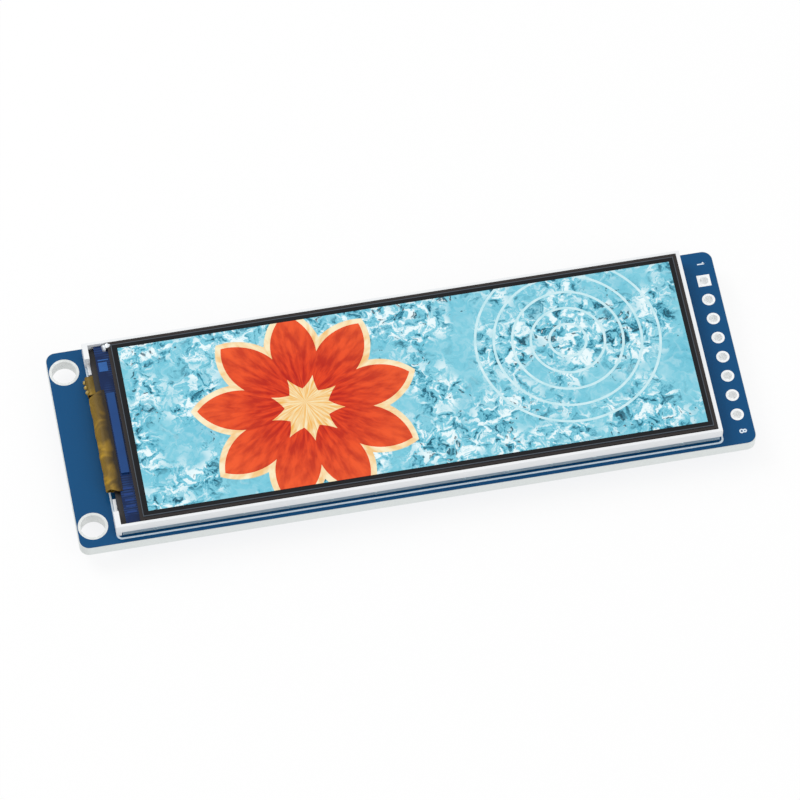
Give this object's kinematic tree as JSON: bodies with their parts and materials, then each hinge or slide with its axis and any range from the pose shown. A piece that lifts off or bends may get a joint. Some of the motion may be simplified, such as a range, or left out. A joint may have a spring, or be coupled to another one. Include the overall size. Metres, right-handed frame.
{
  "type": "tft display module",
  "caption": "Long narrow colour display on a blue circuit board, with a folded flexible circuit to a flip-latch connector on the back, a header row and mounting holes.",
  "frame": {"origin": "middle of the board outline, at the height of the connector top face on the back, on which the module rests when the screen faces up", "axes": "+X along the board from the mounting holes to the header row, +Y across it towards header hole one, +Z out of the screen"},
  "size_m": [0.0772, 0.0254, 0.0062],
  "materials": {
    "circuit_board": "bare glass-fibre laminate, pale grey-green at the edges",
    "front_solder_mask": "blue solder mask",
    "back_solder_mask": "blue solder mask",
    "mount_hole_rings": "tinned copper",
    "header_pads": "tinned copper",
    "front_marking": "white ink",
    "back_marking": "white ink",
    "back_tracks": "copper under blue solder mask",
    "foam_tape": "black double-sided foam",
    "steel_tray": "plain stainless sheet",
    "light_frame": "white polycarbonate",
    "reflector_sheet": "white reflector film",
    "light_guide": "clear acrylic",
    "diffuser_sheet": "white diffuser film",
    "prism_sheet": "clear prism film",
    "backlight_leds": "white side-view lamps",
    "backlight_flex": "amber polyimide",
    "backlight_solder": "solder seen through amber film",
    "rim_tape": "black light-shielding tape",
    "rear_polariser": "grey polarising film",
    "tft_glass": "dark blue coated glass",
    "filter_glass": "dark coated glass",
    "front_polariser": "near-black polarising film",
    "image_water": "lit pale blue",
    "image_ripples": "lit teal",
    "image_petals": "lit orange-red",
    "image_rims": "lit cream",
    "glass_circuit": "thin metal film on glass",
    "driver_chip": "polished silicon, blue",
    "silver_paste": "silver paste",
    "main_flex": "amber polyimide over copper",
    "flex_stiffener": "dark polyimide",
    "connector_housing": "ivory-white moulding",
    "connector_latch": "dark grey moulding",
    "connector_contacts": "tinned phosphor bronze",
    "connector_nails": "tinned brass",
    "regulator_body": "black epoxy moulding",
    "regulator_leads": "tinned copper",
    "transistor_body": "black epoxy moulding",
    "transistor_leads": "tinned alloy",
    "diode_body": "black epoxy moulding",
    "diode_leads": "tinned alloy",
    "resistors": "dark glaze on white ceramic",
    "resistor_ends": "tinned ends",
    "capacitors": "tan ceramic",
    "capacitor_ends": "tinned ends",
    "solder_joints": "bright solder"
  },
  "bodies": {
    "module": {"circuit_board": "circuit_board", "front_solder_mask": "front_solder_mask", "back_solder_mask": "back_solder_mask", "mount_hole_rings": "mount_hole_rings", "header_pads": "header_pads", "front_marking": "front_marking", "back_marking": "back_marking", "back_tracks": "back_tracks", "foam_tape": "foam_tape", "steel_tray": "steel_tray", "light_frame": "light_frame", "reflector_sheet": "reflector_sheet", "light_guide": "light_guide", "diffuser_sheet": "diffuser_sheet", "prism_sheet": "prism_sheet", "backlight_leds": "backlight_leds", "backlight_flex": "backlight_flex", "backlight_solder": "backlight_solder", "rim_tape": "rim_tape", "rear_polariser": "rear_polariser", "tft_glass": "tft_glass", "filter_glass": "filter_glass", "front_polariser": "front_polariser", "image_water": "image_water", "image_ripples": "image_ripples", "image_petals": "image_petals", "image_rims": "image_rims", "glass_circuit": "glass_circuit", "driver_chip": "driver_chip", "silver_paste": "silver_paste", "main_flex": "main_flex", "flex_stiffener": "flex_stiffener", "connector_housing": "connector_housing", "connector_contacts": "connector_contacts", "connector_nails": "connector_nails", "regulator_body": "regulator_body", "regulator_leads": "regulator_leads", "transistor_body": "transistor_body", "transistor_leads": "transistor_leads", "diode_body": "diode_body", "diode_leads": "diode_leads", "resistors": "resistors", "resistor_ends": "resistor_ends", "capacitors": "capacitors", "capacitor_ends": "capacitor_ends", "solder_joints": "solder_joints"},
    "latch": {"connector_latch": "connector_latch"}
  },
  "joints": [
    {"name": "latch_hinge", "type": "hinge", "parent": "module", "child": "latch", "pos_m": [-0.00505, 0, 0.0007], "axis": [0, 1, 0], "range_deg": [0, 90]}
  ]
}
